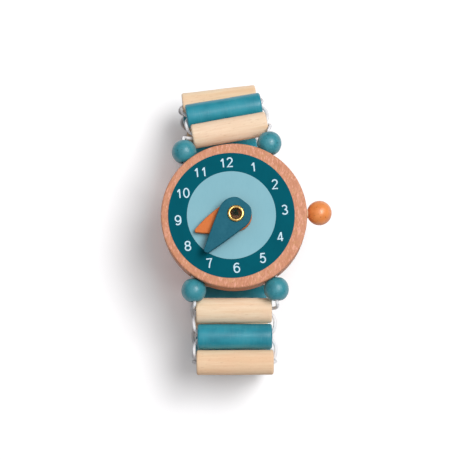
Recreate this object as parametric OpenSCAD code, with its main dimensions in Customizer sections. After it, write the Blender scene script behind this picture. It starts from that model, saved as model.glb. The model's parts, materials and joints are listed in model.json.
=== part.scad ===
// Wooden toy watch: a round beech case with a printed dial, two thick painted hands on a hollow
// brass eyelet, and a strap of short wooden dowels strung on white elastic, in millimetres.
// It stands on the underside of its strap with the dial up and 12 o'clock towards +Y.

/* [Case] */
// Diameter of the wooden case
case_d = 40; // [37:0.5:44]
// Thickness of the wooden case
case_t = 8; // [7:0.25:10]
// Rounding of the edges of the case
case_edge = 0.5; // [0.2:0.1:1]

/* [Dial] */
// Diameter of the dark print
dial_d = 34.6; // [31:0.2:36]
// Width of the dark ring that shows around the light print
ring_w = 5.15; // [4.4:0.05:5.8]
// Thickness of the dark print
dark_print_t = 0.12; // [0.1:0.02:0.3]
// Thickness of the light print and of the numbers
light_print_t = 0.08; // [0.06:0.02:0.2]
// How far the print sits left of the middle of the case
print_shift = 0.7; // [0:0.1:1]
// Turn of the print, anticlockwise, in degrees
print_turn = 5.7; // [0:0.1:10]
// Height of a number, as a share of the dark ring's width
number_height_share = 0.544; // [0.4:0.01:0.6]
// How far out in the dark ring the middle of a number lies, as a share of the ring's width
number_place_share = 0.48; // [0.42:0.01:0.5]
// Width of one digit, as a share of its height
number_width_share = 0.64; // [0.5:0.01:0.7]
// Width of a digit's stroke, as a share of its height
number_stroke_share = 0.125; // [0.1:0.005:0.18]
// Step from one digit to the next, as a share of a digit's height
number_step_share = 0.715; // [0.7:0.01:0.8]

/* [Hands] */
// Thickness of the hour hand
hour_t = 2; // [1:0.1:2.5]
// Length of the hour hand from its pivot
hour_length = 12; // [9:0.5:14]
// Radius of the round head of the hour hand
hour_head_r = 4.5; // [3.5:0.1:5]
// Width of the hour hand's blunt tip
hour_tip_w = 0.9; // [0.5:0.1:2]
// How far the sides of the hour hand swell outwards
hour_swell = 0.45; // [0:0.05:0.8]
// Direction of the hour hand, in degrees clockwise from 12
hour_turn = 248; // [0:1:359]
// Thickness of the minute hand
minute_t = 2; // [1:0.1:2.5]
// Length of the minute hand from its pivot
minute_length = 13.4; // [10:0.2:15]
// Radius of the round head of the minute hand
minute_head_r = 4.45; // [3.5:0.05:5]
// How far behind the pivot the minute hand's head ends in a flat
minute_flat = 4.05; // [3.5:0.05:5]
// How far the minute hand's hole is drilled off its middle line
minute_offset = 0.25; // [0:0.05:0.4]
// Width of the minute hand's blunt tip
minute_tip_w = 1.5; // [0.5:0.1:2]
// How far the sides of the minute hand swell outwards
minute_swell = 0.1; // [0:0.05:0.8]
// Direction of the minute hand, in degrees clockwise from 12
minute_turn = 217; // [0:1:359]
// Air between the dial, the hands and the eyelet's flange
hand_gap = 0.15; // [0.1:0.05:0.4]
// Air around the eyelet in a hand
pivot_gap = 0.06; // [0.03:0.01:0.1]

/* [Eyelet] */
// Diameter of the hole through the eyelet
eyelet_hole_d = 2.7; // [2:0.1:3.2]
// Wall of the eyelet's tube
eyelet_wall = 0.25; // [0.15:0.05:0.4]
// Diameter of the eyelet's rolled flanges
flange_d = 4.6; // [4.2:0.1:5.4]
// Height of a rolled flange
flange_h = 0.45; // [0.3:0.05:0.8]
// How far the eyelet sits right of the middle of the case
eyelet_shift = 0.5; // [0:0.1:1]
// How far the eyelet sits below the middle of the case, towards 6 o'clock
eyelet_drop = 0.3; // [0:0.1:1]
// Diameter of the washer under the back flange
washer_d = 6.4; // [5.8:0.1:7]
// Thickness of that washer
washer_t = 0.3; // [0.2:0.05:0.6]
// Depth of the recess in the back of the case
recess_depth = 1.4; // [1.2:0.1:2]
// Air around the washer in its recess
recess_gap = 0.4; // [0.2:0.1:0.8]

/* [Crown] */
// Diameter of the round wooden crown
crown_d = 6.8; // [5:0.1:8]
// Direction of the crown, in degrees anticlockwise from 3 o'clock
crown_turn = 3; // [0:0.5:6]
// Diameter of the crown's peg
peg_d = 2.5; // [2:0.1:3]
// Length of the peg inside the case
peg_in_case = 4; // [3:0.5:6]
// Length of the peg inside the crown
peg_in_crown = 3.4; // [2:0.2:4]
// Glue gap around the peg and under the crown
glue_gap = 0.05; // [0.02:0.01:0.1]

/* [Lug beads] */
// Diameter of a lug bead
bead_d = 6.9; // [6.2:0.1:7.2]
// Length of a lug bead along its hole
bead_length = 6.1; // [5.4:0.1:6.2]
// Diameter of a lug bead's hole
bead_hole_d = 1.9; // [1.7:0.1:2.4]
// How deep a bead sinks into its seat in the wall of the case
seat_depth = 0.45; // [0.3:0.05:0.8]
// Air between a bead and its seat
seat_gap = 0.25; // [0.2:0.05:0.4]
// How far the left bead at 12 lies beyond the end of a full dowel
bead_12_left_offset = 3.2; // [2.4:0.1:3.8]
// How far the right bead at 12 lies short of the end of a full dowel
bead_12_right_inset = 0.8; // [0:0.1:1.2]
// How far the left bead at 6 lies beyond the end of a full dowel
bead_6_left_offset = 0.4; // [-0.2:0.1:1.2]
// How far the right bead at 6 lies beyond the end of a full dowel
bead_6_right_offset = 1; // [0:0.1:1.4]

/* [Strap] */
// Diameter of a dowel
dowel_d = 6.9; // [6.2:0.1:7.4]
// Length of a full dowel
dowel_length = 21.2; // [20:0.2:23]
// Rounding of a dowel's ends
dowel_edge = 0.6; // [0.3:0.05:0.8]
// Air between two dowels
dowel_gap = 0.26; // [0.2:0.02:0.5]
// Diameter of a dowel's bore
dowel_bore_d = 2.6; // [2.5:0.05:3]
// Diameter of the countersunk mouth of the bore
mouth_d = 4.1; // [3.8:0.1:4.4]
// Depth of that countersink
mouth_depth = 0.7; // [0.6:0.05:0.9]
// How far the strap drifts to the left on its way round
strap_drift = 4.4; // [3.6:0.1:5]

/* [Elastic] */
// Diameter of the elastic cord
cord_d = 0.9; // [0.7:0.05:0.95]
// Distance of a strand from the middle of a dowel's bore
strand_offset = 0.72; // [0.7:0.01:0.76]
// How far a loop stands out of the dowels' ends, at its middle line
loop_reach = 0.85; // [0.8:0.05:1.2]
// How deep inside the bore a loop starts to bend
loop_inset = 0.9; // [0.8:0.05:1]
// Pull of the strand as it leaves dowel 1 or 19 for its bead
lug_dowel_pull = 3; // [2.8:0.1:3.6]
// Pull of the strand as it reaches the bead
lug_bead_pull = 1.5; // [1.2:0.1:2]
// Diameter of the elastic's bores through the case
case_bore_d = 2.4; // [2.3:0.1:3]
// Diameter of the knot
knot_d = 2.1; // [1.8:0.1:2.2]
// Air between strands that end near each other
strand_gap = 0.3; // [0.2:0.05:0.5]

/* [Hidden] */
// Directions of the strap's steps, in degrees below level: from the beads at 12 down to dowel 5,
// and from the beads at 6 down to dowel 14. Dowels 5 to 14 lie in a row.
falls_12 = [34.7, 27.6, 54.3, 102.9, 119.8];
falls_6 = [44, 5.9, 6.9, 98.5, 92.9, 128.4];
dowel_count = 19;
first_floor = len(falls_12);
last_floor = dowel_count + 1 - len(falls_6);
// Places of the dowels across the strap, as shares of its drift, and their turns in degrees
drift_shares = [-0.27, -0.64, -0.94, -1, -0.8, -0.84, -0.77, -0.66, -0.55, -0.43,
    -0.32, -0.23, -0.14, -0.07, -0.02, 0, 0.07, 0.05, 0];
turns = [10.4, 9.7, 6.9, 6.2, 4.9, 4.3, 3.9, 3.5, 3.1, 2.7, 2.3, 1.9, 1.5, 1.1, 0.8, 0.5, 0.3, 0.2, 0];
// Each dowel is sawn a little differently
length_shares = [1, 1.01, 1, 0.98, 0.97, 1, 0.98, 0.99, 1, 0.98, 1, 0.99, 0.98, 1, 0.99, 0.98, 1, 0.97, 0.985];

case_r = case_d / 2;
bead_r = bead_d / 2;
dowel_r = dowel_d / 2;
cord_r = cord_d / 2;
crown_r = crown_d / 2;
tube_r = eyelet_hole_d / 2 + eyelet_wall;
pitch = dowel_d + dowel_gap;
cut = case_t;

// The numbers fill a part of the dark ring
light_d = dial_d - 2 * ring_w;
number_circle_r = light_d / 2 + number_place_share * ring_w;
number_h = number_height_share * ring_w;
number_w = number_width_share * number_h;
number_stroke = number_stroke_share * number_h;
number_step = number_step_share * number_h;

// Levels above the top face of the case
light_top = dark_print_t + light_print_t;
hour_z = light_top + hand_gap;
minute_z = hour_z + hour_t + hand_gap;
flange_z = minute_z + minute_t + hand_gap;
bead_z = -case_t / 2;
washer_z = -case_t + recess_depth - washer_t;

// Beads in their seats: a bead's middle lies this far from the middle of the case
bead_out = case_r + bead_r - seat_depth;
function bead_at(x, way) = [x, way * sqrt(bead_out ^ 2 - x ^ 2), bead_z];
bead_12_left = bead_at(-dowel_length / 2 - bead_12_left_offset, 1);
bead_12_right = bead_at(dowel_length / 2 - bead_12_right_inset, 1);
bead_6_left = bead_at(-dowel_length / 2 - bead_6_left_offset, -1);
bead_6_right = bead_at(dowel_length / 2 + bead_6_right_offset, -1);
lug_12 = (bead_12_left + bead_12_right) / 2;
lug_6 = (bead_6_left + bead_6_right) / 2;

// The side steps all lean by one angle, so that the row of dowels between them just fits
all_falls = concat(falls_12, falls_6);
reach = sum([for (a = all_falls) cos(a)]);
drop = sum([for (a = all_falls) sin(a)]);
row_steps = last_floor - first_floor;
wanted = row_steps - (lug_12.y - lug_6.y) / pitch;
lean = acos(wanted / norm([reach, drop])) - atan2(drop, reach);

function sum(list) = list * [for (x = list) 1];
function unit(v) = v / norm(v);

// Outward and upward travel from a line of beads after some steps
function steps_out(falls, count) = count == 0 ? 0
    : pitch * sum([for (k = [0 : count - 1]) cos(falls[k] + lean)]);
function steps_up(falls, count) = count == 0 ? 0
    : -pitch * sum([for (k = [0 : count - 1]) sin(falls[k] + lean)]);

function dowel_y(i) = i <= first_floor ? lug_12.y + steps_out(falls_12, i)
    : i < last_floor ? dowel_y(first_floor) - (i - first_floor) * pitch
    : lug_6.y - steps_out(falls_6, dowel_count + 1 - i);
function dowel_z(i) = i <= first_floor ? bead_z + steps_up(falls_12, i)
    : i < last_floor ? dowel_z(first_floor)
    : bead_z + steps_up(falls_6, dowel_count + 1 - i);
function dowel_at(i) = [strap_drift * drift_shares[i - 1], dowel_y(i), dowel_z(i)];
function dowel_way(i) = [cos(turns[i - 1]), sin(turns[i - 1]), 0];
function half_dowel(i) = dowel_length * length_shares[i - 1] / 2;

// The origin is on the floor under the middle of the whole watch
crown_at = (case_r + crown_r + glue_gap) * [cos(crown_turn), sin(crown_turn), 0] + [0, 0, bead_z];
all_dowels = [for (i = [1 : dowel_count]) i];
back_y = max([for (i = all_dowels)
    dowel_y(i) + dowel_r * dowel_way(i).x + (half_dowel(i) - dowel_edge) * dowel_way(i).y]);
front_y = min([for (i = all_dowels)
    dowel_y(i) - dowel_r * dowel_way(i).x - (half_dowel(i) - dowel_edge) * dowel_way(i).y]);
floor_z = min([for (i = all_dowels) dowel_z(i)]) - dowel_r;
origin = [(crown_at.x + crown_r - case_r) / 2, (back_y + front_y) / 2, floor_z];

wood = "#DDA583";
natural = "#F6DAB8";
teal = "#489AA8";
dark = "#005C6A";
light = "#8CBECC";
pale = "#CDE8F5";
orange = "#E48C50";
slate = "#2E6B82";
brass = "#C8A03C";
white = "#E4E4F0";

function two_digits(i) = str(i < 10 ? "0" : "", i);
function dowel_name(i) = str("dowel_", two_digits(i));
function elastic_name(i) = str("elastic_", two_digits(i), "_", two_digits(i + 1));

// Turns what is drawn along Z so that it lies along a direction
module along(way) {
    rotate([0, acos(way.z), atan2(way.y, way.x)]) children();
}

// A quarter circle of an outline, from one angle to another
function corner(middle, r, from, to, count = 4) =
    [for (k = [0 : count]) let (a = from + (to - from) * k / count) middle + r * [cos(a), sin(a)]];

module case_blank() {
    low = -case_t + case_edge;
    rotate_extrude($fn = 128)
        polygon(concat(
            [[0, -case_t]],
            corner([case_r - case_edge, low], case_edge, -90, 0),
            corner([case_r - case_edge, -case_edge], case_edge, 0, 90),
            [[0, 0]]));
}

// A straight hole for the elastic from a bead at 6 to the bead at 12
module cord_bore(from, to) {
    translate(from) along(unit(to - from)) cylinder(d = case_bore_d, h = norm(to - from), $fn = 32);
}

module at_pivot(z) {
    translate([eyelet_shift, -eyelet_drop, z]) children();
}

module case() {
    color(wood) difference() {
        case_blank();
        at_pivot(-cut) cylinder(r = tube_r + glue_gap, h = 2 * cut, $fn = 48);
        at_pivot(-case_t - cut) cylinder(d = washer_d + 2 * recess_gap, h = cut + recess_depth, $fn = 64);
        cord_bore(bead_6_left, bead_12_left);
        cord_bore(bead_6_right, bead_12_right);
        for (bead = [bead_12_left, bead_12_right, bead_6_left, bead_6_right])
            translate(bead) sphere(r = bead_r + seat_gap, $fn = 48);
        crown_peg_blank(glue_gap);
    }
}

module at_print(z) {
    translate([-print_shift, 0, z]) rotate(print_turn) children();
}

module eyelet_hole(z) {
    at_pivot(z - cut) cylinder(r = tube_r + glue_gap, h = 2 * cut, $fn = 48);
}

module dial_dark_print() {
    color(dark) difference() {
        at_print(0) cylinder(d = dial_d, h = dark_print_t, $fn = 128);
        eyelet_hole(0);
    }
}

module dial_light_print() {
    color(light) difference() {
        at_print(dark_print_t) cylinder(d = light_d, h = light_print_t, $fn = 128);
        eyelet_hole(0);
    }
}

// Digits are strokes whose points are shares of the digit's width and height
function arc_shares(middle, radii, from, to, count) =
    [for (k = [0 : count]) let (a = from + (to - from) * k / count)
        middle + [radii.x * cos(a), radii.y * sin(a)]];
one_shares = [[[0.62, 0], [0.62, 1]], [[0.64, 0.97], [0.22, 0.7]]];
two_shares = [concat(arc_shares([0.5, 0.72], [0.47, 0.28], 165, -30, 9), [[0, 0], [1, 0]])];
three_shares = [arc_shares([0.47, 0.755], [0.43, 0.245], 155, -90, 9),
    arc_shares([0.47, 0.26], [0.5, 0.26], 90, -155, 10)];
four_shares = [[[1, 0.26], [0, 0.26], [0.7, 1]], [[0.72, 1], [0.72, 0]]];
five_shares = [[[0.94, 1], [0.22, 1], [0.1, 0.48]], arc_shares([0.46, 0.33], [0.5, 0.33], 138, -155, 11)];
six_shares = [concat(arc_shares([0.58, 0.56], [0.58, 0.44], 48, 180, 8), [[0.01, 0.34], [0.04, 0.22]])];
seven_shares = [[[0, 1], [1, 1], [0.6, 0.52], [0.4, 0]]];
nine_shares = [concat(arc_shares([0.42, 0.44], [0.58, 0.44], 228, 360, 8), [[0.99, 0.66], [0.96, 0.78]])];
stroke_shares = [[], one_shares, two_shares, three_shares, four_shares, five_shares, six_shares,
    seven_shares, [], nine_shares];
// Closed rings of a digit: the middle, then the radii
ring_shares = [[[[0.5, 0.5], [0.5, 0.5]]], [], [], [], [], [], [[[0.5, 0.32], [0.5, 0.32]]], [],
    [[[0.5, 0.76], [0.43, 0.24]], [[0.5, 0.265], [0.5, 0.265]]], [[[0.5, 0.68], [0.5, 0.32]]]];
digit_box = [number_w - number_stroke, number_h - number_stroke];
// The longest mitre at a corner of a stroke, as a share of half its width
mitre_share = 1.5;

function in_box(p) = [(p.x - 1 / 2) * digit_box.x, (p.y - 1 / 2) * digit_box.y];
function left_of(v) = [-v.y, v.x];
function offset_point(p, i, side) =
    let (
        into = unit(p[max(i, 1)] - p[max(i, 1) - 1]),
        out = unit(p[min(i, len(p) - 2) + 1] - p[min(i, len(p) - 2)]),
        middle = unit(into + out),
        mitre = min(1 / max(middle * out, 0.01), mitre_share))
    p[i] + side * number_stroke / 2 * mitre * left_of(middle);

module stroke(shares) {
    p = [for (s = shares) in_box(s)];
    last = len(p) - 1;
    polygon(concat(
        [for (i = [0 : last]) offset_point(p, i, -1)],
        [for (i = [last : -1 : 0]) offset_point(p, i, 1)]));
}

function ring_points(middle, radii, grow) =
    [for (k = [0 : 23]) let (a = k * 360 / 24)
        in_box(middle) + [(radii.x * digit_box.x + grow) * cos(a), (radii.y * digit_box.y + grow) * sin(a)]];

module digit(d) {
    for (shares = stroke_shares[d]) stroke(shares);
    for (ring = ring_shares[d])
        difference() {
            polygon(ring_points(ring[0], ring[1], number_stroke / 2));
            polygon(ring_points(ring[0], ring[1], -number_stroke / 2));
        }
}

module number(n) {
    shift = n > 9 ? number_step / 2 : 0;
    translate([shift, 0]) digit(n % 10);
    if (n > 9) translate([-shift, 0]) digit(1);
}

module dial_numbers() {
    color(pale) at_print(dark_print_t) linear_extrude(light_print_t)
        for (n = [1 : 12])
            translate(number_circle_r * [sin(30 * n), cos(30 * n)]) number(n);
}

// A hand's outline lies along +X: a round head with a flat at its back, and swelling sides that run
// to a blunt tip
module hand(length, head_r, flat, offset, tip_w, swell, thickness) {
    tip = [length, tip_w / 2];
    touch = atan2(tip.y, tip.x) + acos(head_r / norm(tip));
    head = head_r * [cos(touch), sin(touch)];
    side = [for (k = [0 : 6]) let (t = k / 6)
        tip + (head - tip) * t + [cos(touch), sin(touch)] * swell * 4 * t * (1 - t)];
    mirrored = [for (k = [len(side) - 1 : -1 : 0]) [side[k].x, -side[k].y]];
    linear_extrude(thickness) difference() {
        translate([0, -offset]) intersection() {
            union() {
                circle(r = head_r, $fn = 64);
                polygon(concat(side, [[0, 0]], mirrored));
            }
            translate([-flat, -head_r]) square([flat + length, 2 * head_r]);
        }
        circle(r = tube_r + pivot_gap, $fn = 48);
    }
}

module hour_hand() {
    color(orange) at_pivot(hour_z) rotate(90 - hour_turn)
        hand(hour_length, hour_head_r, hour_head_r, 0, hour_tip_w, hour_swell, hour_t);
}

module minute_hand() {
    color(slate) at_pivot(minute_z) rotate(90 - minute_turn)
        hand(minute_length, minute_head_r, minute_flat, minute_offset, minute_tip_w, minute_swell, minute_t);
}

// Half of the eyelet's outline: the rolled flange from its outer foot to the mouth of the hole
function flange_outline() =
    let (hole_r = eyelet_hole_d / 2, middle = (hole_r + flange_d / 2) / 2, half = flange_d / 2 - middle)
    [for (k = [0 : 10]) let (a = k * 18) [middle + half * cos(a), flange_h * sin(a)]];

module eyelet() {
    top = flange_outline();
    back = [for (k = [len(top) - 1 : -1 : 0]) [top[k].x, washer_z - top[k].y]];
    color(brass) at_pivot(0) rotate_extrude($fn = 64)
        polygon(concat(
            [[tube_r, washer_z], [tube_r, flange_z]],
            [for (p = top) [p.x, flange_z + p.y]],
            back));
}

module eyelet_washer() {
    color(brass) at_pivot(washer_z) difference() {
        cylinder(d = washer_d, h = washer_t, $fn = 64);
        translate([0, 0, -cut]) cylinder(r = tube_r + glue_gap, h = 2 * cut, $fn = 48);
    }
}

// The peg lies on a radius of the case, from its socket to the hole in the crown
module crown_peg_blank(grow) {
    in_case = case_r - peg_in_case;
    total = peg_in_case + glue_gap + peg_in_crown;
    translate([0, 0, bead_z]) along([cos(crown_turn), sin(crown_turn), 0])
        translate([0, 0, in_case - grow]) cylinder(d = peg_d + 2 * grow, h = total + 2 * grow, $fn = 48);
}

module crown_ball() {
    color(orange) difference() {
        translate(crown_at) sphere(r = crown_r, $fn = 96);
        crown_peg_blank(glue_gap);
    }
}

module crown_peg() {
    color(natural) crown_peg_blank(0);
}

// A lug bead: a ball with a flat at each end of its hole, strung on the line of the elastic
module bead(middle, way) {
    color(teal) translate(middle) along(way) difference() {
        sphere(d = bead_d, $fn = 96);
        cylinder(d = bead_hole_d, h = 2 * bead_d, center = true, $fn = 48);
        for (end = [0, 1]) mirror([0, 0, end])
            translate([-bead_d, -bead_d, bead_length / 2]) cube(2 * bead_d);
    }
}

left_way = unit(bead_12_left - bead_6_left);
right_way = unit(bead_12_right - bead_6_right);

module dowel(i) {
    half = half_dowel(i);
    end = concat(
        [[dowel_bore_d / 2, half - mouth_depth], [mouth_d / 2, half]],
        corner([dowel_r - dowel_edge, half - dowel_edge], dowel_edge, 90, 0));
    other_end = [for (k = [len(end) - 1 : -1 : 0]) [end[k].x, -end[k].y]];
    color(i % 2 == 1 ? natural : teal) translate(dowel_at(i)) along(dowel_way(i))
        rotate_extrude($fn = 64) polygon(concat(end, other_end));
}

// A round cord as one closed surface along a list of points
cord_sides = 8;
function ways(p) = [for (i = [0 : len(p) - 1]) unit(p[min(i + 1, len(p) - 1)] - p[max(i - 1, 0)])];
function square_to(v, way) = unit(v - (v * way) * way);
module cord(p) {
    t = ways(p);
    last = len(p) - 1;
    start = square_to(abs(t[0].z) < abs(t[0].x) ? [0, 0, 1] : [1, 0, 0], t[0]);
    n = [for (i = 0, v = start; i <= last; i = i + 1, v = i <= last ? square_to(v, t[i]) : v) v];
    points = [for (i = [0 : last]) for (k = [0 : cord_sides - 1]) let (a = k * 360 / cord_sides)
        p[i] + cord_r * (cos(a) * n[i] + sin(a) * cross(t[i], n[i]))];
    function at(i, k) = i * cord_sides + k % cord_sides;
    sides = [for (i = [0 : last - 1]) for (k = [0 : cord_sides - 1])
        each [[at(i, k), at(i + 1, k), at(i + 1, k + 1)], [at(i, k), at(i + 1, k + 1), at(i, k + 1)]]];
    ends = [for (k = [1 : cord_sides - 2])
        each [[at(0, 0), at(0, k), at(0, k + 1)], [at(last, 0), at(last, k + 1), at(last, k)]]];
    polyhedron(points, concat(sides, ends));
}

function bezier(a, b, c, d, t) =
    (1 - t) ^ 3 * a + 3 * (1 - t) ^ 2 * t * b + 3 * (1 - t) * t ^ 2 * c + t ^ 3 * d;
function curve(a, b, c, d, count = 8) = [for (k = [0 : count]) bezier(a, b, c, d, k / count)];

// Where a strand lies in dowel i on its way to a neighbour, so far from the dowel's middle
function strand_at(i, neighbour, end, far) =
    let (way = dowel_way(i))
    dowel_at(i) + strand_offset * square_to(neighbour - dowel_at(i), way) + end * far * way;

// The loop from one dowel to the next at one end, with half a strand in each bore
module loop(i, end) {
    bend = loop_inset + loop_reach;
    pull = bend * 4 / 3;
    a = strand_at(i, dowel_at(i + 1), end, half_dowel(i) - loop_inset);
    b = strand_at(i + 1, dowel_at(i), end, half_dowel(i + 1) - loop_inset);
    cord(concat(
        [strand_at(i, dowel_at(i + 1), end, strand_gap / 2)],
        curve(a, a + end * pull * dowel_way(i), b + end * pull * dowel_way(i + 1), b),
        [strand_at(i + 1, dowel_at(i), end, strand_gap / 2)]));
}

module elastic(i) {
    color(white) for (end = [-1, 1]) loop(i, end);
}

// From the middle of dowel 1 or 19 round to a lug bead and through it
module lug_strand(i, end, lug, bead, way) {
    a = strand_at(i, lug, end, half_dowel(i) - loop_inset);
    b = bead + way * (bead_length / 2 + strand_gap);
    cord(concat(
        [strand_at(i, lug, end, strand_gap / 2)],
        curve(a, a + end * lug_dowel_pull * dowel_way(i), b + way * lug_bead_pull, b),
        [bead - way * bead_length / 2]));
}

module elastic_lug_12() {
    color(white) {
        lug_strand(1, -1, lug_12, bead_12_left, left_way);
        lug_strand(1, 1, lug_12, bead_12_right, right_way);
    }
}

module elastic_lug_6() {
    color(white) {
        lug_strand(dowel_count, -1, lug_6, bead_6_left, -left_way);
        lug_strand(dowel_count, 1, lug_6, bead_6_right, -right_way);
    }
}

module case_strand(from, to) {
    end = bead_length / 2 + strand_gap;
    way = unit(to - from);
    translate(from + end * way) along(way) cylinder(r = cord_r, h = norm(to - from) - 2 * end, $fn = 24);
}

module elastic_in_case() {
    color(white) {
        case_strand(bead_6_left, bead_12_left);
        case_strand(bead_6_right, bead_12_right);
    }
}

// The knot that closes the elastic is pulled into the left bore
module elastic_knot() {
    color(white) translate((bead_6_left + bead_12_left) / 2) along(left_way) difference() {
        sphere(d = knot_d, $fn = 32);
        cylinder(r = cord_r + glue_gap, h = 2 * knot_d, center = true, $fn = 24);
    }
}

translate(-origin) {
    case();
    dial_dark_print();
    dial_light_print();
    dial_numbers();
    hour_hand();
    minute_hand();
    eyelet();
    eyelet_washer();
    crown_ball();
    crown_peg();
    bead(bead_12_left, left_way);
    bead(bead_12_right, right_way);
    bead(bead_6_left, left_way);
    bead(bead_6_right, right_way);
    for (i = all_dowels)
        dowel(i);
    for (i = [1 : dowel_count - 1])
        elastic(i);
    elastic_lug_12();
    elastic_lug_6();
    elastic_in_case();
    elastic_knot();
}
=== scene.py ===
"""The looks of the wooden toy watch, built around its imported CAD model."""
import json
import math

import bmesh
import bpy
import numpy as np
from mathutils import Matrix, Vector


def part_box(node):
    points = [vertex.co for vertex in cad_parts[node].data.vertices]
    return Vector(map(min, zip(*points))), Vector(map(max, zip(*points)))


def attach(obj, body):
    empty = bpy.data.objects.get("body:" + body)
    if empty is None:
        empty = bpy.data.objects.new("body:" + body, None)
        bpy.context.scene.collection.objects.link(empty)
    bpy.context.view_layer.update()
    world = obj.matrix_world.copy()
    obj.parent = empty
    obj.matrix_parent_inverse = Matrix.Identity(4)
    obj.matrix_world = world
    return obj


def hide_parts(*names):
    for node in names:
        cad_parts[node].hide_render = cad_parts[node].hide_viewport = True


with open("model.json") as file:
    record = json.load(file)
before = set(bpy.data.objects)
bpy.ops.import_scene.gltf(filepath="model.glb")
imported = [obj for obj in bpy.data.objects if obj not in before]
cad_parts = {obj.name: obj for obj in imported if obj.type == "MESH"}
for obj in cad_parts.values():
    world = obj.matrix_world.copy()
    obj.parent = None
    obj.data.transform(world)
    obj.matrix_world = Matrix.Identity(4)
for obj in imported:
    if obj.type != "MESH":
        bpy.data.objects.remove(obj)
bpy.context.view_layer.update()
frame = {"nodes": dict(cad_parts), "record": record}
NODES = frame["nodes"]
RECORD = frame["record"]
BODY_OF = {node: body for body, members in RECORD["behaviour"]["bodies"].items() for node in members}

# Sizes in millimetres, as in part.scad
MM = 0.001
DOWELS = 19
DOWEL_R, DOWEL_EDGE, DOWEL_BORE_R, MOUTH_R, MOUTH_DEPTH = 3.45, 0.6, 1.3, 2.05, 0.7
BEAD_R, BEAD_HOLE_R, BEAD_HALF = 3.45, 0.95, 3.05
CROWN_R, PEG_R, PEG_IN_CROWN = 3.4, 1.25, 3.4
CORD_R, STRAND_OFFSET, LOOP_REACH, LOOP_INSET = 0.45, 0.72, 0.85, 0.9
LUG_DOWEL_PULL, LUG_BEAD_PULL, STRAND_GAP = 3.0, 1.5, 0.3
HOLE_R, TUBE_R, FLANGE_R, FLANGE_H, PIVOT_GAP = 1.35, 1.6, 2.3, 0.45, 0.06

# Directions of the hands, in degrees clockwise from 12 o'clock
HOUR_TURN, MINUTE_TURN = 248, 217


def mm(*values):
    return Vector(values) * MM


def put(name, data):
    """A new object in the scene."""
    thing = bpy.data.objects.new(name, data)
    bpy.context.scene.collection.objects.link(thing)
    return thing


# Camera: 9 degrees off straight down, 450 mm from the dial
TILT = math.radians(9)
CAMERA_DISTANCE = 0.450
LENS, SENSOR, NEAREST = 129, 36, 0.02
# Where it looks, in millimetres from the middle of the dial
AIM_LEFT, AIM_DOWN = 1.09, 4.08


def make_camera():
    """Looks at a point a little left of the dial's middle and below it."""
    low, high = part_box("case")
    face = Vector(((low.x + high.x) / 2, (low.y + high.y) / 2, high.z))
    up_way = Vector((0, math.cos(TILT), math.sin(TILT)))
    back_way = Vector((0, -math.sin(TILT), math.cos(TILT)))
    data = bpy.data.cameras.new("camera")
    data.lens = LENS
    data.sensor_width = SENSOR
    data.clip_start = NEAREST
    camera = put("camera", data)
    camera.location = face + mm(-AIM_LEFT, 0, 0) - AIM_DOWN * MM * up_way + CAMERA_DISTANCE * back_way
    camera.rotation_euler = (TILT, 0, 0)
    bpy.context.scene.camera = camera


make_camera()


# Materials
def srgb(r, g, b):
    """An sRGB colour from 0 to 255, as linear values with alpha."""
    linear = (c / 255 / 12.92 if c < 11 else ((c / 255 + 0.055) / 1.055) ** 2.4 for c in (r, g, b))
    return (*linear, 1.0)


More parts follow.
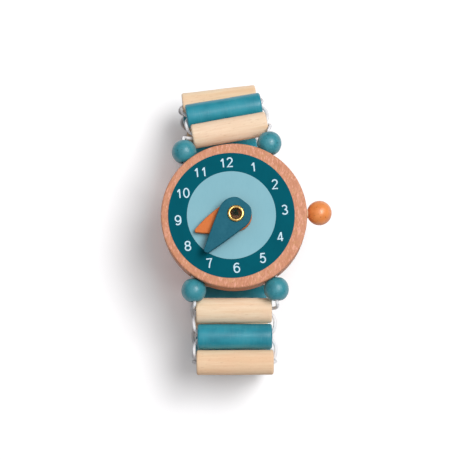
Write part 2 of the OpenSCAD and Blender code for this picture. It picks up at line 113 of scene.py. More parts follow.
class Shader:
    """A node material around one Principled shader."""

    def __init__(self, name, **inputs):
        self.material = bpy.data.materials.new(name)
        self.material.use_nodes = True
        self.tree = self.material.node_tree
        self.main = self.tree.nodes["Principled BSDF"]
        self.set(self.main, inputs)
        self.coords = None

    def set(self, node, inputs):
        for key, value in inputs.items():
            socket = node.inputs[key.replace("_", " ") if isinstance(key, str) else key]
            if isinstance(value, bpy.types.NodeSocket):
                self.tree.links.new(value, socket)
            else:
                socket.default_value = value

    def add(self, kind, inputs=None, **settings):
        node = self.tree.nodes.new("ShaderNode" + kind)
        for key, value in settings.items():
            setattr(node, key, value)
        self.set(node, inputs or {})
        return node

    def place(self, scale, shift=(0, 0, 0), turn=(0, 0, 0), source="Object"):
        """Coordinates in millimetres, times scale."""
        if self.coords is None:
            self.coords = self.add("TexCoord")
        unit = 1000 if source == "Object" else 1
        return self.add("Mapping", {
            "Vector": self.coords.outputs[source], "Location": shift, "Rotation": turn,
            "Scale": [s * unit for s in scale]}).outputs["Vector"]

    def noise(self, vector, detail=4.0, roughness=0.55, distortion=0.0):
        return self.add("TexNoise", {
            "Vector": vector, "Scale": 1.0, "Detail": detail, "Roughness": roughness,
            "Distortion": distortion}).outputs["Fac"]

    def ramp(self, value, stops):
        """A colour for each value, from stops of (position, colour)."""
        node = self.add("ValToRGB", {"Fac": value})
        elements = node.color_ramp.elements
        while len(elements) < len(stops):
            elements.new(0.5)
        for element, (position, colour) in zip(elements, stops):
            element.position = position
            element.color = colour
        return node.outputs["Color"]

    def grey_ramp(self, value, low, high, from_value=0.0, to_value=1.0):
        return self.add("MapRange", {
            "Value": value, "From Min": low, "From Max": high, "To Min": from_value, "To Max": to_value},
            clamp=True).outputs["Result"]

    def mix(self, share, a, b, blend="MIX"):
        node = self.add("Mix", data_type="RGBA", blend_type=blend)
        for index, value in ((0, share), (6, a), (7, b)):
            if isinstance(value, bpy.types.NodeSocket):
                self.tree.links.new(value, node.inputs[index])
            else:
                node.inputs[index].default_value = value
        return node.outputs[2]

    def lay(self, colour, value, low, high, share, over):
        """Lays a colour over another, from nothing at a low value up to a share at a high one."""
        return self.mix(self.grey_ramp(value, low, high, 0.0, share), colour, over)

    def length(self, vector):
        return self.add("VectorMath", {0: vector}, operation="LENGTH").outputs["Value"]

    def math(self, operation, a, b=0.0):
        return self.add("Math", {0: a, 1: b}, operation=operation).outputs[0]

    def bump(self, height, strength, distance, under=None):
        """Distance in millimetres. Under is the normal of a coarser bump."""
        inputs = {"Height": height, "Strength": strength, "Distance": distance * MM}
        if under is not None:
            inputs["Normal"] = under
        return self.add("Bump", inputs).outputs["Normal"]

    def finish(self, colour, roughness=None, normal=None):
        for name, value in (("Base Color", colour), ("Roughness", roughness), ("Normal", normal)):
            if value is not None:
                self.set(self.main, {name: value})
        return self.material


def shifted(seed, k):
    """A fixed place in the noise for each piece."""
    return (7.3 * seed + 3.1 * k, 5.9 * seed - 1.7 * k, 11.7 * seed + 0.9 * k)


def natural_wood(name, seed, tone_and_light=srgb(240, 240, 240)):
    """Pale unpainted wood with its grain along Z."""
    s = Shader(name, IOR=1.45, Specular_IOR_Level=0.25, Diffuse_Roughness=0.35)
    bands = s.noise(s.place((0.42, 0.42, 0.022), shifted(seed, 1)), detail=3, distortion=0.6)
    fibres = s.noise(s.place((3.2, 3.2, 0.16), shifted(seed, 2)), detail=6, roughness=0.65)
    clouds = s.noise(s.place((0.16, 0.16, 0.1), shifted(seed, 3)), detail=2)
    pores = s.noise(s.place((5.5, 5.5, 0.55), shifted(seed, 4)), detail=2)
    colour = s.ramp(bands, [
        (0.3, srgb(238, 205, 165)), (0.46, srgb(247, 221, 188)), (0.6, srgb(250, 228, 198)),
        (0.74, srgb(243, 212, 176))])
    colour = s.lay(colour, fibres, 0.4, 0.72, 0.4, srgb(226, 186, 142))
    colour = s.lay(colour, clouds, 0.42, 0.68, 0.4, srgb(246, 206, 172))
    colour = s.lay(colour, pores, 0.63, 0.74, 0.5, srgb(190, 140, 98))
    # times a tone for each dowel, partly its own and partly painted light
    colour = s.mix(1.0, colour, tone_and_light, "MULTIPLY")
    normal = s.bump(fibres, 0.25, 0.06, s.bump(bands, 0.2, 0.15))
    return s.finish(colour, s.grey_ramp(fibres, 0.3, 0.7, 0.62, 0.5), normal)


def painted_dowel(name, seed, half):
    """Teal paint brushed round a dowel, a little darker at its ends."""
    s = Shader(name, IOR=1.5, Specular_IOR_Level=0.45)
    strokes = s.noise(s.place((0.3, 0.3, 2.6), shifted(seed, 1)), detail=4, distortion=0.3)
    grain = s.noise(s.place((2.4, 2.4, 0.12), shifted(seed, 2)), detail=5, roughness=0.6)
    clouds = s.noise(s.place((0.2, 0.2, 0.14), shifted(seed, 3)), detail=2)
    specks = s.noise(s.place((4.5, 4.5, 3.0), shifted(seed, 4)), detail=1)
    colour = s.ramp(clouds, [
        (0.3, srgb(33, 130, 149)), (0.5, srgb(40, 144, 163)), (0.7, srgb(50, 152, 170))])
    colour = s.lay(colour, strokes, 0.5, 0.72, 0.3, srgb(84, 160, 172))
    colour = s.lay(colour, grain, 0.56, 0.75, 0.35, srgb(28, 106, 124))
    colour = s.lay(colour, specks, 0.7, 0.76, 0.5, srgb(28, 84, 98))
    along = s.math("ABSOLUTE", s.add("SeparateXYZ", {0: s.place((1, 1, 1))}).outputs["Z"])
    ragged = s.math("ADD", along, s.math("MULTIPLY", strokes, 0.5))
    colour = s.lay(colour, ragged, half - 0.15, half + 0.15, 0.4, srgb(36, 110, 128))
    normal = s.bump(grain, 0.2, 0.06, s.bump(strokes, 0.08, 0.05))
    return s.finish(colour, s.grey_ramp(strokes, 0.35, 0.7, 0.3, 0.38), normal)


def painted_ball(name, seed, dark, base, pale, pit, pale_share=0.4):
    """Thick dipped paint on a turned wooden ball, with small dents and pits."""
    s = Shader(name, IOR=1.5, Specular_IOR_Level=0.7)
    clouds = s.noise(s.place((0.28, 0.28, 0.28), shifted(seed, 1)), detail=3)
    dents = s.noise(s.place((0.9, 0.9, 0.9), shifted(seed, 2)), detail=3, roughness=0.6)
    specks = s.noise(s.place((2.6, 2.6, 2.6), shifted(seed, 3)), detail=2)
    pits = s.noise(s.place((2.1, 2.1, 2.1), shifted(seed, 4)), detail=0)
    colour = s.ramp(clouds, [(0.32, dark), (0.5, base)])
    colour = s.lay(colour, specks, 0.55, 0.75, pale_share, pale)
    deep = s.grey_ramp(pits, 0.74, 0.8)
    colour = s.mix(s.math("MULTIPLY", deep, 0.6), colour, pit)
    normal = s.bump(deep, -0.5, 0.12, s.bump(dents, 0.45, 0.2))
    return s.finish(colour, s.grey_ramp(dents, 0.3, 0.7, 0.29, 0.46), normal)


# A turn of the noise, so that the case shows another part of it
NOISE_TURN = (0, 0, math.radians(-28))


def beech(name):
    """Sanded beech: salmon wood with tan patches, short flecks, pale rays and dark pores."""
    s = Shader(name, IOR=1.45, Specular_IOR_Level=0.25)
    bands = s.noise(s.place((0.32, 0.05, 0.32), (4, 2, 1), NOISE_TURN), detail=3, distortion=0.4)
    flecks = s.noise(s.place((2.9, 1.1, 2.9), (1, 5, 3), NOISE_TURN), detail=4, roughness=0.65)
    rays = s.noise(s.place((2.2, 0.9, 2.2), (9, 1, 7), NOISE_TURN), detail=2)
    grit = s.noise(s.place((4.2, 3.0, 4.2), (2, 8, 5), NOISE_TURN), detail=2)
    tan = s.noise(s.place((1.7, 0.9, 1.7), (6, 3, 9), NOISE_TURN), detail=3)
    colour = s.ramp(bands, [
        (0.3, srgb(200, 134, 101)), (0.5, srgb(208, 143, 112)), (0.68, srgb(215, 152, 123))])
    colour = s.lay(colour, tan, 0.5, 0.66, 0.5, srgb(214, 162, 112))
    colour = s.lay(colour, flecks, 0.5, 0.68, 0.7, srgb(184, 118, 86))
    colour = s.lay(colour, rays, 0.52, 0.68, 0.7, srgb(240, 178, 154))
    colour = s.lay(colour, grit, 0.62, 0.74, 0.5, srgb(150, 92, 62))
    normal = s.bump(flecks, 0.3, 0.06, s.bump(grit, 0.2, 0.05))
    return s.finish(colour, s.grey_ramp(flecks, 0.3, 0.7, 0.62, 0.5), normal)


def flat_print(name, colour, dark, seed):
    """Matte ink over fine wood grain."""
    s = Shader(name, IOR=1.45, Specular_IOR_Level=0.03)
    grain = s.noise(s.place((2.6, 0.5, 2.6), shifted(seed, 1), NOISE_TURN), detail=4)
    clouds = s.noise(s.place((0.12, 0.12, 0.12), shifted(seed, 2)), detail=3)
    grit = s.noise(s.place((6, 6, 6), shifted(seed, 3)), detail=2)
    colour = s.lay(colour, clouds, 0.35, 0.7, 0.45, dark)
    colour = s.lay(colour, grain, 0.5, 0.75, 0.3, dark)
    normal = s.bump(grit, 0.12, 0.03, s.bump(grain, 0.15, 0.05))
    return s.finish(colour, s.grey_ramp(grit, 0.3, 0.7, 0.5, 0.62), normal)


def painted_hand(name, base, dark, pale, seed):
    """Thin matte paint on a flat wooden hand, with dark specks."""
    s = Shader(name, IOR=1.48, Specular_IOR_Level=0.04)
    grain = s.noise(s.place((1.8, 1.8, 1.8), shifted(seed, 1)), detail=5, roughness=0.65)
    specks = s.noise(s.place((3.6, 3.6, 3.6), shifted(seed, 2)), detail=2)
    clouds = s.noise(s.place((0.3, 0.3, 0.3), shifted(seed, 3)), detail=2)
    colour = s.lay(base, grain, 0.4, 0.7, 0.45, dark)
    colour = s.lay(colour, clouds, 0.5, 0.7, 0.35, pale)
    colour = s.lay(colour, specks, 0.68, 0.76, 0.5, dark)
    return s.finish(colour, s.grey_ramp(grain, 0.3, 0.7, 0.42, 0.56), s.bump(grain, 0.3, 0.07))


def brass(name):
    """Rolled brass, stained and a little uneven."""
    s = Shader(name, Metallic=1.0)
    rub = s.noise(s.place((1.3, 1.3, 6.0), (3, 1, 2)), detail=4)
    stain = s.noise(s.place((0.5, 0.5, 0.5), (6, 2, 4)), detail=2)
    colour = s.lay(srgb(238, 198, 122), stain, 0.42, 0.62, 0.7, srgb(180, 124, 54))
    normal = s.bump(stain, 0.4, 0.25, s.bump(rub, 0.15, 0.03))
    return s.finish(colour, s.grey_ramp(rub, 0.3, 0.7, 0.1, 0.22), normal)


# Between the threads and the cord's length, in degrees
THREAD_ANGLE = 52


def braid(name):
    """White round elastic: two sets of threads that cross on its surface."""
    s = Shader(name, Sheen_Weight=0.3, Sheen_Roughness=0.5)
    left, right = (s.add("TexWave", {
        "Vector": s.place((1, 1, 1), turn=(0, 0, math.radians(angle)), source="UV"),
        "Scale": 1.5, "Distortion": 0.4}, bands_direction="X").outputs["Fac"]
        for angle in (THREAD_ANGLE, -THREAD_ANGLE))
    threads = s.math("MAXIMUM", left, right)
    fuzz = s.noise(s.place((6, 6, 6)), detail=3)
    colour = s.lay(srgb(240, 240, 248), threads, 0.2, 0.8, 1.0, srgb(255, 255, 255))
    colour = s.lay(colour, fuzz, 0.5, 0.8, 0.3, srgb(240, 240, 248))
    return s.finish(colour, s.grey_ramp(fuzz, 0.3, 0.7, 0.7, 0.85), s.bump(threads, 0.6, 0.12))


# Meshes
SHARP = math.radians(38)


def piece(name, node, bm, place, material):
    """Makes a mesh in millimetres into a piece that replaces a node and rides on its body."""
    bmesh.ops.recalc_face_normals(bm, faces=bm.faces)
    for face in bm.faces:
        face.smooth = True
    for edge in bm.edges:
        edge.smooth = len(edge.link_faces) == 2 and edge.calc_face_angle(0) < SHARP
    bmesh.ops.scale(bm, vec=(MM, MM, MM), verts=bm.verts)
    mesh = bpy.data.meshes.new(name)
    bm.to_mesh(mesh)
    bm.free()
    mesh.materials.append(material)
    thing = put(name, mesh)
    thing.matrix_world = place
    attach(thing, BODY_OF[node])
    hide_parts(node)


def arc(middle, radius, start, end, count):
    """Points of a profile on a circle, from one angle to another in degrees."""
    angles = [math.radians(start + (end - start) * k / count) for k in range(count + 1)]
    return [(middle[0] + radius * math.cos(a), middle[1] + radius * math.sin(a)) for a in angles]


def spread(a, b, count):
    """Points between two profile points, without the ends."""
    return [(a[0] + (b[0] - a[0]) * k / count, a[1] + (b[1] - a[1]) * k / count)
            for k in range(1, count)]


def skin(bm, loops):
    """Faces between neighbouring closed loops of vertices, and from the last to the first."""
    for k, here in enumerate(loops):
        there = loops[(k + 1) % len(loops)]
        for j in range(len(here)):
            i = (j + 1) % len(here)
            bm.faces.new((here[j], there[j], there[i], here[i]))


def lathe(profile, steps, wobble=None):
    """Turns a closed profile of (radius, height) points round Z."""
    bm = bmesh.new()
    rings = []
    for k in range(steps):
        a = 2 * math.pi * k / steps
        ring = []
        for r, z in profile:
            grown = r + (wobble(a, r, z) if wobble else 0)
            ring.append(bm.verts.new((grown * math.cos(a), grown * math.sin(a), z)))
        rings.append(ring)
    skin(bm, rings)
    return bm


def facing(way):
    """A turn that takes Z to a direction, with X kept near the part's Z."""
    z = way.normalized()
    x = (Vector((0, 0, 1)) - z * z.z).normalized() if abs(z.z) < 0.9 else Vector((1, 0, 0))
    y = z.cross(x)
    return Matrix((x, y, z)).transposed().to_4x4()


def middle_of(node):
    low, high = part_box(node)
    return (low + high) / 2


def way_of(node):
    """The direction of a long node, towards +X, and half its length in millimetres."""
    points = np.array([v.co for v in NODES[node].data.vertices]) - np.array(middle_of(node))
    way = np.linalg.eigh(points.T @ points)[1][:, -1]
    way = way * (1 if way[0] > 0 else -1)
    return Vector(way), float(np.abs(points @ way).max()) / MM


# Dowels
LIP = 0.14
DOWEL_UNEVEN = 0.022
# Tones of the natural dowels in turn: partly their own tone, partly painted light, lighter on a dowel
# whose tilt turns it from the lamps
WOOD_TONES_AND_LIGHT = (srgb(249, 250, 255), srgb(252, 254, 255), srgb(242, 238, 232), srgb(246, 240, 236),
              srgb(248, 251, 255))


def dowel_name(i):
    return f"dowel_{i:02d}"


dowel_place = {i: middle_of(dowel_name(i)) / MM for i in range(1, DOWELS + 1)}
dowel_way = {}
dowel_half = {}
for i in range(1, DOWELS + 1):
    dowel_way[i], dowel_half[i] = way_of(dowel_name(i))


def half_dowel_profile(half):
    """From the middle of the bore out over one end to the middle of the side."""
    bore = (DOWEL_BORE_R, half - MOUTH_DEPTH)
    mouth = (MOUTH_R, half - LIP)
    return ([(DOWEL_BORE_R, 0), bore]
            + spread(bore, mouth, 4)
            + arc((MOUTH_R + LIP, half - LIP), LIP, 180, 90, 3)
            + spread((MOUTH_R + LIP, half), (DOWEL_R - DOWEL_EDGE, half), 3)
            + arc((DOWEL_R - DOWEL_EDGE, half - DOWEL_EDGE), DOWEL_EDGE, 90, 0, 7)
            + spread((DOWEL_R, half - DOWEL_EDGE), (DOWEL_R, 0), 6))


def make_dowel(i):
    half = dowel_half[i]
    end = half_dowel_profile(half)
    other = [(r, -z) for r, z in reversed(end[1:])]

    def wobble(a, r, z):
        if r < MOUTH_R:
            return 0.0
        return DOWEL_UNEVEN * (math.sin(2 * a + 1.7 * i) + math.sin(3 * a - 0.31 * z + i) * 0.6
                               + math.sin(0.45 * z + 2.3 * i) * 0.8 - 1.2)

    bm = lathe(end + [(DOWEL_R, 0)] + other, 72, wobble)
    if i % 2:
        look = natural_wood(f"natural_wood_{i:02d}", i, WOOD_TONES_AND_LIGHT[i // 2 % len(WOOD_TONES_AND_LIGHT)])
    else:
        look = painted_dowel(f"teal_paint_{i:02d}", i, half)
    turn = facing(dowel_way[i]) @ Matrix.Rotation(0.9 * i, 4, "Z")
    place = Matrix.Translation(dowel_place[i] * MM) @ turn
    piece(f"turned_{dowel_name(i)}", dowel_name(i), bm, place, look)


for i in range(1, DOWELS + 1):
    make_dowel(i)

# Beads at the strap's ends
BEAD_LIP, BEAD_UNEVEN = 0.12, 0.02
BEADS = ("bead_12_left", "bead_12_right", "bead_6_left", "bead_6_right")
bead_place = {name: middle_of(name) / MM for name in BEADS}
left_way = (bead_place["bead_12_left"] - bead_place["bead_6_left"]).normalized()
right_way = (bead_place["bead_12_right"] - bead_place["bead_6_right"]).normalized()
bead_way = {"bead_12_left": left_way, "bead_12_right": right_way,
            "bead_6_left": -left_way, "bead_6_right": -right_way}
BEAD_COLOURS = (srgb(40, 124, 138), srgb(54, 142, 156), srgb(96, 170, 180), srgb(14, 62, 74))


def make_bead(name, seed):
    flat_angle = math.degrees(math.asin(BEAD_HALF / BEAD_R))
    half = ([(BEAD_HOLE_R, 0), (BEAD_HOLE_R, BEAD_HALF - BEAD_LIP)]
            + arc((BEAD_HOLE_R + BEAD_LIP, BEAD_HALF - BEAD_LIP), BEAD_LIP, 180, 90, 3)
            + arc((0, 0), BEAD_R, flat_angle, 0, 18))
    profile = half + [(r, -z) for r, z in reversed(half[1:-1])]

    def wobble(a, r, z):
        if r < BEAD_HOLE_R + 0.2:
            return 0.0
        return BEAD_UNEVEN * (math.sin(2 * a + seed) + math.sin(1.1 * z + 3 * a + seed) - 1)

    look = painted_ball(f"bead_paint_{seed}", 20 + seed, *BEAD_COLOURS)
    place = Matrix.Translation(bead_place[name] * MM) @ facing(bead_way[name])
    piece(f"turned_{name}", name, lathe(profile, 64, wobble), place, look)


for seed, name in enumerate(BEADS):
    make_bead(name, seed)

# Crown
PEG_GAP = 0.05
CROWN_COLOURS = (srgb(224, 126, 58), srgb(240, 146, 76), srgb(248, 170, 110), srgb(160, 82, 32))
crown_place = middle_of("crown_ball") / MM
peg_way = way_of("crown_peg")[0]


def make_crown():
    hole = PEG_R + PEG_GAP
    foot = -math.sqrt(CROWN_R ** 2 - hole ** 2)
    depth = PEG_IN_CROWN - CROWN_R
    start = math.degrees(math.asin(foot / CROWN_R))
    profile = arc((0, 0), CROWN_R, start, 89.5, 28) + [(0.01, depth), (hole, depth)]
    look = painted_ball("crown_paint", 31, *CROWN_COLOURS, pale_share=0.25)
    place = Matrix.Translation(crown_place * MM) @ facing(peg_way)
    piece("turned_crown", "crown_ball", lathe(profile, 64), place, look)


make_crown()

# Eyelet
ROLL_STEPS = 18
PETALS, PETAL_DEPTH, PETAL_REACH, INNER_R = 6, 0.05, 0.9, 1.5
eyelet_middle = middle_of("eyelet") / MM
flange_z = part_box("eyelet")[1].z / MM - FLANGE_H
washer_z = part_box("eyelet")[0].z / MM + FLANGE_H


def make_eyelet():
    """A tube rolled over at both ends, with the petals of its split edge inside the face's end."""
    centre = (HOLE_R + FLANGE_R) / 2
    wide = (FLANGE_R - HOLE_R) / 2
    angles = [math.radians(180 * k / ROLL_STEPS) for k in range(ROLL_STEPS + 1)]
    roll = [(centre + wide * math.cos(a), flange_z + FLANGE_H * math.sin(a)) for a in angles]
    back = [(r, washer_z + flange_z - z) for r, z in reversed(roll)]
    profile = ([(TUBE_R, washer_z), (TUBE_R, flange_z)] + roll
               + spread(roll[-1], back[0], 12) + back)
    profile = [(r, z - eyelet_middle.z) for r, z in profile]
    top = flange_z - eyelet_middle.z

    def wobble(a, r, z):
        if r >= INNER_R:
            return 0.0
        return PETAL_DEPTH * math.cos(PETALS * a) * max(0.0, 1 - abs(z - top) / PETAL_REACH)

    place = Matrix.Translation(eyelet_middle * MM)
    piece("rolled_eyelet", "eyelet", lathe(profile, 96, wobble), place, brass("brass"))


make_eyelet()

# Hands
HEAD_CORNER = 24
SIDE_STEPS, NOSE_STEPS, BACK_STEPS, EDGE_STEPS = 12, 4, 16, 4
HAND_EDGE, HAND_HOLE_EDGE = 0.28, 0.1
FACE_SHARES = (0.33, 0.67)


def hand_outline(length, head_r, flat, offset, tip_w, swell):
    """Points round a hand that lies along +X, with its pivot at the origin.

    The head is a circle cut by a flat at its back, and the sides swell a little between
    head and tip. The offset moves the whole outline sideways from the pivot.
    """
    tip = Vector((length - tip_w / 4, tip_w / 2))
    touch = math.atan2(tip.y, tip.x) + math.acos(head_r / tip.length)
    out = Vector((math.cos(touch), math.sin(touch)))
    head = head_r * out
    side = [tip.lerp(head, k / SIDE_STEPS) + out * swell * 4 * (k / SIDE_STEPS) * (1 - k / SIDE_STEPS)
            for k in range(SIDE_STEPS + 1)]
    nose = [Vector((tip.x + tip_w / 4 * math.cos(a), tip_w / 2 * math.sin(a)))
            for a in (math.radians(90 * k / NOSE_STEPS) for k in range(NOSE_STEPS))]
    back = []
    for k in range(1, BACK_STEPS + 1):
        a = touch + (math.pi - touch) * k / BACK_STEPS
        # a high power of both radii rubs the flat's two corners round
        flat_r = flat / max(-math.cos(a), 0.2)
        back.append((head_r ** -HEAD_CORNER + flat_r ** -HEAD_CORNER) ** (-1 / HEAD_CORNER)
                    * Vector((math.cos(a), math.sin(a))))
    half = nose + side + back
    mirrored = [Vector((p.x, -p.y)) for p in reversed(half[1:-1])]
    return [Vector((p.x, p.y - offset)) for p in half + mirrored]


def make_hand(name, node, outline, at, look):
    """A flat hand with softly rounded edges: every layer is the outline drawn in by so much."""
    low, high = (corner.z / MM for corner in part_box(node))
    soft, fine = HAND_EDGE, HAND_HOLE_EDGE
    hole = TUBE_R + PIVOT_GAP
    count = len(outline)
    normals = []
    for k in range(count):
        step = outline[(k + 1) % count] - outline[k - 1]
        normals.append(Vector((step.y, -step.x)).normalized())
    angles = [math.radians(90 * k / EDGE_STEPS) for k in range(EDGE_STEPS + 1)]
    layers = [(soft - soft * math.sin(a), low + soft - soft * math.cos(a)) for a in angles]
    layers += [(d, low + high - z) for d, z in reversed(layers)]
    bm = bmesh.new()
    columns = []
    for p, n in zip(outline, normals):
        way = p.normalized()
        flat = p.length - hole
        points = [(hole * way, low + fine), ((hole + fine) * way, low)]
        points += [((hole + fine + (flat - soft - fine) * s) * way, low) for s in FACE_SHARES]
        points += [(p - n * d, z) for d, z in layers]
        points += [((hole + fine + (flat - soft - fine) * s) * way, high) for s in reversed(FACE_SHARES)]
        points += [((hole + fine) * way, high), (hole * way, high - fine)]
        columns.append([bm.verts.new((q.x, q.y, z - low)) for q, z in points])
    skin(bm, columns)
    place = (Matrix.Translation(mm(eyelet_middle.x, eyelet_middle.y, low))
             @ Matrix.Rotation(math.radians(90 - at), 4, "Z"))
    piece(name, node, bm, place, look)


HOUR_OUTLINE = hand_outline(length=12, head_r=4.4, flat=4.3, offset=0, tip_w=0.9, swell=0.45)
MINUTE_OUTLINE = hand_outline(length=13.4, head_r=4.47, flat=4.08, offset=0.25, tip_w=1.5, swell=0.1)
make_hand("shaped_hour_hand", "hour_hand", HOUR_OUTLINE, HOUR_TURN,
          painted_hand("orange_paint", srgb(218, 124, 70), srgb(198, 102, 52), srgb(228, 140, 88), 41))
make_hand("shaped_minute_hand", "minute_hand", MINUTE_OUTLINE, MINUTE_TURN,
          painted_hand("slate_paint", srgb(38, 101, 119), srgb(26, 86, 104), srgb(52, 115, 132), 42))

# Elastic
WHITE = braid("white_braid")
CORD_SIDES, BEND_STEPS, CASE_STEPS, KNOT_STEPS = 14, 20, 8, 60
KNOT_R, KNOT_SWELL, KNOT_HEIGHT = 0.52, 0.12, 0.42


def tubes(name, node, paths):
    """Round cord along each path of points in millimetres, with a UV map in millimetres."""
    bm = bmesh.new()
    uv = bm.loops.layers.uv.new("UVMap")
    round_share = 2 * math.pi * CORD_R / CORD_SIDES
    for path in paths:
        last = len(path) - 1
        ways = [(path[min(k + 1, last)] - path[max(k - 1, 0)]).normalized() for k in range(len(path))]
        side = ways[0].orthogonal().normalized()
        rings, lengths = [], [0.0]
        for k, (p, t) in enumerate(zip(path, ways)):
            side = (side - t * side.dot(t)).normalized()
            other = t.cross(side)
            if k:
                lengths.append(lengths[-1] + (p - path[k - 1]).length)
            rings.append([bm.verts.new(p + CORD_R * (math.cos(a) * side + math.sin(a) * other))
                          for a in (2 * math.pi * j / CORD_SIDES for j in range(CORD_SIDES))])
        for k in range(last):
            for j in range(CORD_SIDES):
                i = (j + 1) % CORD_SIDES
                face = bm.faces.new((rings[k][j], rings[k + 1][j], rings[k + 1][i], rings[k][i]))
                for loop, (u, v) in zip(face.loops, ((j, k), (j, k + 1), (j + 1, k + 1), (j + 1, k))):
                    loop[uv].uv = (u * round_share, lengths[v])
        bm.faces.new(reversed(rings[0]))
        bm.faces.new(rings[-1])
    piece(name, node, bm, Matrix.Identity(4), WHITE)


def bezier(a, b, c, d):
    points = []
    for k in range(BEND_STEPS + 1):
        t = k / BEND_STEPS
        s = 1 - t
        points.append(s ** 3 * a + 3 * s ** 2 * t * b + 3 * s * t ** 2 * c + t ** 3 * d)
    return points


def square_to(v, way):
    return (v - way * v.dot(way)).normalized()


def strand_at(i, neighbour, end, far):
    """Where a strand lies in dowel i on its way to a neighbour, so far from the dowel's middle."""
    way = dowel_way[i]
    return dowel_place[i] + STRAND_OFFSET * square_to(neighbour - dowel_place[i], way) + end * far * way


def loop_path(i, end):
    """One strand from the middle of a dowel out over its end and into the next dowel."""
    # a Bezier curve reaches three quarters of the way to its two inner points
    pull = (LOOP_INSET + LOOP_REACH) * 4 / 3
    here, there = dowel_place[i], dowel_place[i + 1]
    a = strand_at(i, there, end, dowel_half[i] - LOOP_INSET)
    b = strand_at(i + 1, here, end, dowel_half[i + 1] - LOOP_INSET)
    bend = bezier(a, a + end * pull * dowel_way[i], b + end * pull * dowel_way[i + 1], b)
    return ([strand_at(i, there, end, STRAND_GAP / 2)] + bend
            + [strand_at(i + 1, here, end, STRAND_GAP / 2)])


def lug_path(i, end, lug, bead, way):
    """One strand from the middle of an end dowel out and through a bead."""
    a = strand_at(i, lug, end, dowel_half[i] - LOOP_INSET)
    b = bead + way * (BEAD_HALF + STRAND_GAP)
    bend = bezier(a, a + end * LUG_DOWEL_PULL * dowel_way[i], b + way * LUG_BEAD_PULL, b)
    return [strand_at(i, lug, end, STRAND_GAP / 2)] + bend + [bead - way * BEAD_HALF]


for i in range(1, DOWELS):
    pair = f"{i:02d}_{i + 1:02d}"
    tubes(f"cord_{pair}", f"elastic_{pair}", [loop_path(i, -1), loop_path(i, 1)])
for hour, i in (("12", 1), ("6", DOWELS)):
    left, right = f"bead_{hour}_left", f"bead_{hour}_right"
    lug = (bead_place[left] + bead_place[right]) / 2
    tubes(f"cord_lug_{hour}", f"elastic_lug_{hour}", [
        lug_path(i, -1, lug, bead_place[left], bead_way[left]),
        lug_path(i, 1, lug, bead_place[right], bead_way[right])])


def straight(a, b, gap):
    way = (b - a).normalized()
    return [a + way * gap + (b - a - 2 * gap * way) * k / CASE_STEPS for k in range(CASE_STEPS + 1)]


tubes("cord_in_case", "elastic_in_case", [
    straight(bead_place[f"bead_6_{side}"], bead_place[f"bead_12_{side}"], BEAD_HALF + STRAND_GAP)
    for side in ("left", "right")])


def make_knot():
    """The knot: one turn of cord that rises and falls three times, drawn tight round the strand."""
    middle = middle_of("elastic_knot") / MM
    turn = facing(left_way)
    path = []
    for k in range(KNOT_STEPS + 1):
        a = 2 * math.pi * k / KNOT_STEPS
        r = KNOT_R + KNOT_SWELL * math.cos(1.5 * a)
        p = Vector((r * math.cos(a), r * math.sin(a), KNOT_HEIGHT * math.sin(3 * a)))
        path.append(middle + turn @ p)
    tubes("cord_knot", "elastic_knot", [path])


make_knot()


# CAD nodes that keep their shape
def dress(node, material):
    mesh = NODES[node].data
    mesh.materials.clear()
    mesh.materials.append(material)


dress("case", beech("beech"))
dress("dial_dark_print", flat_print("dark_ink", srgb(0, 90, 105), srgb(0, 76, 90), 51))
dress("dial_light_print", flat_print("light_ink", srgb(139, 187, 199), srgb(127, 177, 190), 52))
dress("dial_numbers", flat_print("pale_ink", srgb(208, 234, 246), srgb(192, 222, 236), 53))
dress("eyelet_washer", brass("washer_brass"))
dress("crown_peg", natural_wood("peg_wood", 61))


# Floor and light
FLOOR_HALF = 3.0
FLOOR_WHITE, FLOOR_BOUNCE = srgb(254, 254, 255), srgb(172, 168, 168)
# Where the painted warm bounce light and the floor's painted glow start and end, in millimetres on the
# floor
PAINTED_BOUNCE_TINT, PAINTED_BOUNCE_FROM, PAINTED_BOUNCE_TO = srgb(254, 232, 231), 8, 16
PAINTED_GLOW, GLOW_NEAR, GLOW_FAR = 0.1, 200, 900
LAMP_TARGET = (0, 0, 0.02)


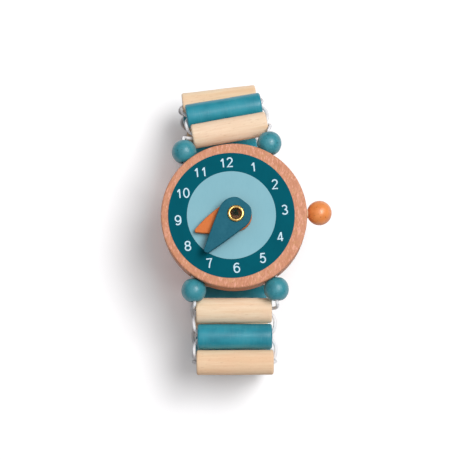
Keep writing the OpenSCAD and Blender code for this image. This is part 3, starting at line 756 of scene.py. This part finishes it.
def make_floor():
    """White where it is seen, and greyer for the light that it throws back under the watch."""
    mesh = bpy.data.meshes.new("floor")
    corners = [(-1, -1), (1, -1), (1, 1), (-1, 1)]
    mesh.from_pydata([(x * FLOOR_HALF, y * FLOOR_HALF, 0) for x, y in corners], [], [(0, 1, 2, 3)])
    floor = put("floor", mesh)
    s = Shader("floor_paper", Roughness=0.9, Specular_IOR_Level=0.0)
    path = s.add("LightPath").outputs
    mirrored = s.math("MAXIMUM", path["Is Glossy Ray"], path["Is Transmission Ray"])
    seen = s.math("MAXIMUM", path["Is Camera Ray"], mirrored)
    distance = s.length(s.place((1, 1, 1)))
    # painted warm bounce light: a pink tint in the floor's colour left of the case, as if its wood lit
    # the shade there
    from_painted_bounce = s.length(s.place((1, 0.5, 1), (14, -1.5, 0)))
    white = s.mix(s.grey_ramp(from_painted_bounce, PAINTED_BOUNCE_FROM, PAINTED_BOUNCE_TO), PAINTED_BOUNCE_TINT, FLOOR_WHITE)
    paper = s.mix(seen, FLOOR_BOUNCE, white)
    # the floor glows: a little near the watch, a painted light that lifts its shadow, and plain white
    # far from the lamps
    glow = s.math("MULTIPLY", seen, s.grey_ramp(distance, GLOW_NEAR, GLOW_FAR, PAINTED_GLOW, 1.0))
    s.set(s.main, {"Emission_Color": srgb(255, 250, 250), "Emission_Strength": glow})
    mesh.materials.append(s.finish(paper))


def make_lamp(name, place, size, power):
    """A round lamp that shines at the watch, all in metres and watts."""
    data = bpy.data.lights.new(name, "AREA")
    data.shape = "DISK"
    data.size = size
    data.energy = power
    lamp = put(name, data)
    lamp.location = place
    lamp.rotation_euler = (Vector(LAMP_TARGET) - Vector(place)).to_track_quat("-Z", "Y").to_euler()


def make_world(zenith, horizon):
    """A soft sky that is brightest overhead and fades towards the horizon."""
    world = bpy.data.worlds.new("world")
    bpy.context.scene.world = world
    world.use_nodes = True
    nodes, links = world.node_tree.nodes, world.node_tree.links
    coords = nodes.new("ShaderNodeTexCoord")
    split = nodes.new("ShaderNodeSeparateXYZ")
    ramp = nodes.new("ShaderNodeValToRGB")
    links.new(coords.outputs["Generated"], split.inputs[0])
    links.new(split.outputs["Z"], ramp.inputs["Fac"])
    links.new(ramp.outputs["Color"], nodes["Background"].inputs["Color"])
    low, high = ramp.color_ramp.elements
    low.position, low.color = 0.35, (*horizon, 1)
    high.position, high.color = 0.95, (*zenith, 1)


make_floor()
make_lamp("key", place=(0.34, 0.06, 0.94), size=0.5, power=5.1)
make_lamp("upper_key", place=(0.40, 0.31, 0.87), size=0.4, power=2.1)
make_world(zenith=(0.74, 0.74, 0.75), horizon=(0.03, 0.02, 0.02))
bpy.context.scene.view_settings.view_transform = "Standard"
